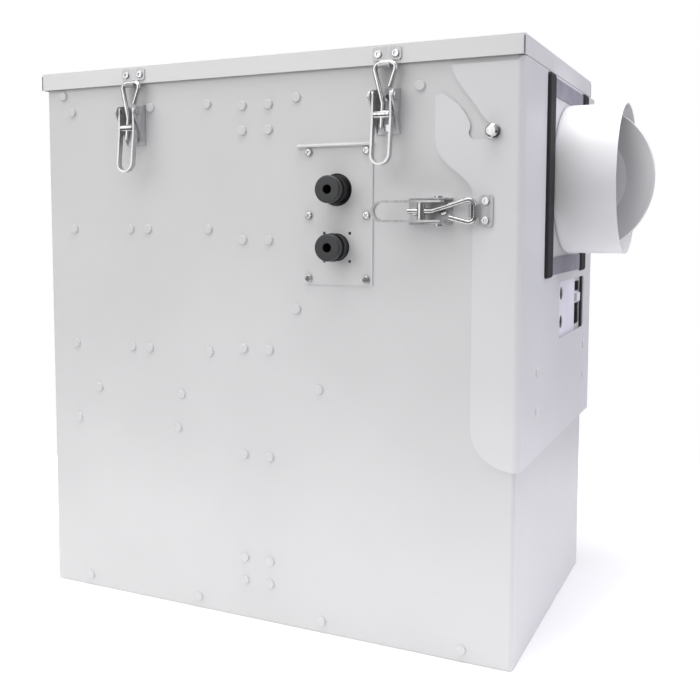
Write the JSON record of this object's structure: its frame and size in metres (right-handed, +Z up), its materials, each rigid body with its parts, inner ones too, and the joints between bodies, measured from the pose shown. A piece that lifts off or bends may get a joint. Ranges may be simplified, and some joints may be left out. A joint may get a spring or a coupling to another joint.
{
  "type": "ventilation filter housing",
  "caption": "Sheet-metal ventilation filter housing with a hinged lid, a slide-off end cover, a round duct spigot with throttle ring, latches and panel connectors.",
  "frame": {"origin": "middle of the bounding box at the base", "axes": "+Z up, +X towards the duct end, +Y towards the lid hinges"},
  "size_m": [0.6586, 0.4098, 0.6],
  "materials": {
    "wall_paint": "satin",
    "lid_paint": "satin",
    "end_paint": "satin",
    "galvanised": "satin",
    "duct_metal": "satin",
    "bright_steel": "bright",
    "pin_steel": "bright",
    "rubber_black": "matte",
    "rubber_grey": "matte",
    "connector_black": "matte",
    "white_plastic": "matte",
    "fan_plastic": "matte",
    "motor_paint": "satin",
    "filter_frame": "satin",
    "filter_paper": "matte",
    "filter_mat": "matte",
    "blade_metal": "satin"
  },
  "bodies": {
    "housing": {"housing_wrap": "wall_paint", "base_pan": "galvanised", "top_frame": "wall_paint", "partition": "galvanised", "filter_shelf_lower": "galvanised", "filter_shelf_middle": "galvanised", "clamp_rails": "galvanised", "main_filter_frame": "filter_frame", "main_filter_pleats": "filter_paper", "prefilter_frame": "filter_frame", "prefilter_mat": "filter_mat", "fan_nozzle": "galvanised", "fan_motor": "motor_paint", "motor_bracket": "galvanised", "connection_plate": "wall_paint", "plate_screws": "bright_steel", "upper_connector": "connector_black", "lower_connector": "connector_black", "wall_rivets": "wall_paint", "cover_pins": "pin_steel", "cable_channel": "end_paint", "window_plate": "white_plastic", "window_catch": "white_plastic", "window_seal": "rubber_black", "hinge_box_leaves": "bright_steel", "hinge_pins": "bright_steel", "latch_bases": "bright_steel", "latch_fasteners": "pin_steel"},
    "lid": {"lid_skin": "lid_paint", "lid_gasket": "rubber_black", "lid_strikes": "bright_steel", "lid_strike_rivets": "pin_steel", "hinge_lid_leaves": "bright_steel"},
    "cover": {"end_cover": "end_paint", "spigot_plate": "end_paint", "duct_spigot": "duct_metal", "side_seals": "rubber_black", "cross_seals": "rubber_grey", "cover_strikes": "bright_steel", "cover_strike_rivets": "pin_steel", "cover_rivets": "end_paint"},
    "blade": {"throttle_blade": "blade_metal", "blade_spindle": "bright_steel"},
    "impeller": {"fan_impeller": "fan_plastic"},
    "upper_cap": {"upper_cap": "connector_black"},
    "lower_cap": {"lower_cap": "connector_black"},
    "lid_left_lever": {"lid_left_lever": "bright_steel"},
    "lid_left_bail": {"lid_left_bail": "bright_steel", "lid_left_trunnion": "bright_steel"},
    "lid_right_lever": {"lid_right_lever": "bright_steel"},
    "lid_right_bail": {"lid_right_bail": "bright_steel", "lid_right_trunnion": "bright_steel"},
    "cover_front_lever": {"cover_front_lever": "bright_steel"},
    "cover_front_bail": {"cover_front_bail": "bright_steel", "cover_front_trunnion": "bright_steel"},
    "cover_rear_lever": {"cover_rear_lever": "bright_steel"},
    "cover_rear_bail": {"cover_rear_bail": "bright_steel", "cover_rear_trunnion": "bright_steel"}
  },
  "joints": [
    {"name": "lid_hinge", "type": "hinge", "parent": "housing", "child": "lid", "pos_m": [-0.0653, 0.15813, 0.58], "axis": [-1, 0, 0], "range_deg": [0, 95]},
    {"name": "cover_slide", "type": "slide", "parent": "housing", "child": "cover", "axis": [0.7071, 0, -0.7071], "range_m": [0, 0.1205]},
    {"name": "throttle_turn", "type": "hinge", "parent": "cover", "child": "blade", "pos_m": [0.256, 0.01613, 0.476], "axis": [0, 0, 1], "range_deg": [-52, 38]},
    {"name": "impeller_spin", "type": "hinge", "parent": "housing", "child": "impeller", "pos_m": [-0.0253, -0.01487, 0.15], "axis": [1, 0, 0], "continuous": true},
    {"name": "upper_cap_turn", "type": "hinge", "parent": "housing", "child": "upper_cap", "pos_m": [0.0463, -0.19987, 0.4619], "axis": [0, -1, 0], "range_deg": [0, 90]},
    {"name": "lower_cap_turn", "type": "hinge", "parent": "housing", "child": "lower_cap", "pos_m": [0.0463, -0.19987, 0.4045], "axis": [0, -1, 0], "range_deg": [0, 90]},
    {"name": "lid_left_lever_turn", "type": "hinge", "parent": "housing", "child": "lid_left_lever", "pos_m": [-0.1988, -0.19587, 0.5495], "axis": [-1, 0, 0], "range_deg": [0, 90]},
    {"name": "lid_left_bail_turn", "type": "hinge", "parent": "lid_left_lever", "child": "lid_left_bail", "pos_m": [-0.1988, -0.19587, 0.5321], "axis": [-1, 0, 0], "range_deg": [-72, 0]},
    {"name": "lid_right_lever_turn", "type": "hinge", "parent": "housing", "child": "lid_right_lever", "pos_m": [0.1007, -0.19587, 0.5495], "axis": [-1, 0, 0], "range_deg": [0, 90]},
    {"name": "lid_right_bail_turn", "type": "hinge", "parent": "lid_right_lever", "child": "lid_right_bail", "pos_m": [0.1007, -0.19587, 0.5321], "axis": [-1, 0, 0], "range_deg": [-72, 0]},
    {"name": "cover_front_lever_turn", "type": "hinge", "parent": "housing", "child": "cover_front_lever", "pos_m": [0.1581, -0.19587, 0.44], "axis": [0, 0, 1], "range_deg": [0, 90]},
    {"name": "cover_front_bail_turn", "type": "hinge", "parent": "cover_front_lever", "child": "cover_front_bail", "pos_m": [0.1407, -0.19587, 0.44], "axis": [0, 0, 1], "range_deg": [-72, 0]},
    {"name": "cover_rear_lever_turn", "type": "hinge", "parent": "housing", "child": "cover_rear_lever", "pos_m": [0.1581, 0.19613, 0.44], "axis": [0, 0, -1], "range_deg": [0, 90]},
    {"name": "cover_rear_bail_turn", "type": "hinge", "parent": "cover_rear_lever", "child": "cover_rear_bail", "pos_m": [0.1407, 0.19613, 0.44], "axis": [0, 0, -1], "range_deg": [-72, 0]}
  ],
  "couplings": [
    {"joint": "lid_left_bail_turn", "follows": "lid_left_lever_turn", "ratio": -0.8},
    {"joint": "lid_right_bail_turn", "follows": "lid_right_lever_turn", "ratio": -0.8},
    {"joint": "cover_front_bail_turn", "follows": "cover_front_lever_turn", "ratio": -0.8},
    {"joint": "cover_rear_bail_turn", "follows": "cover_rear_lever_turn", "ratio": -0.8}
  ]
}
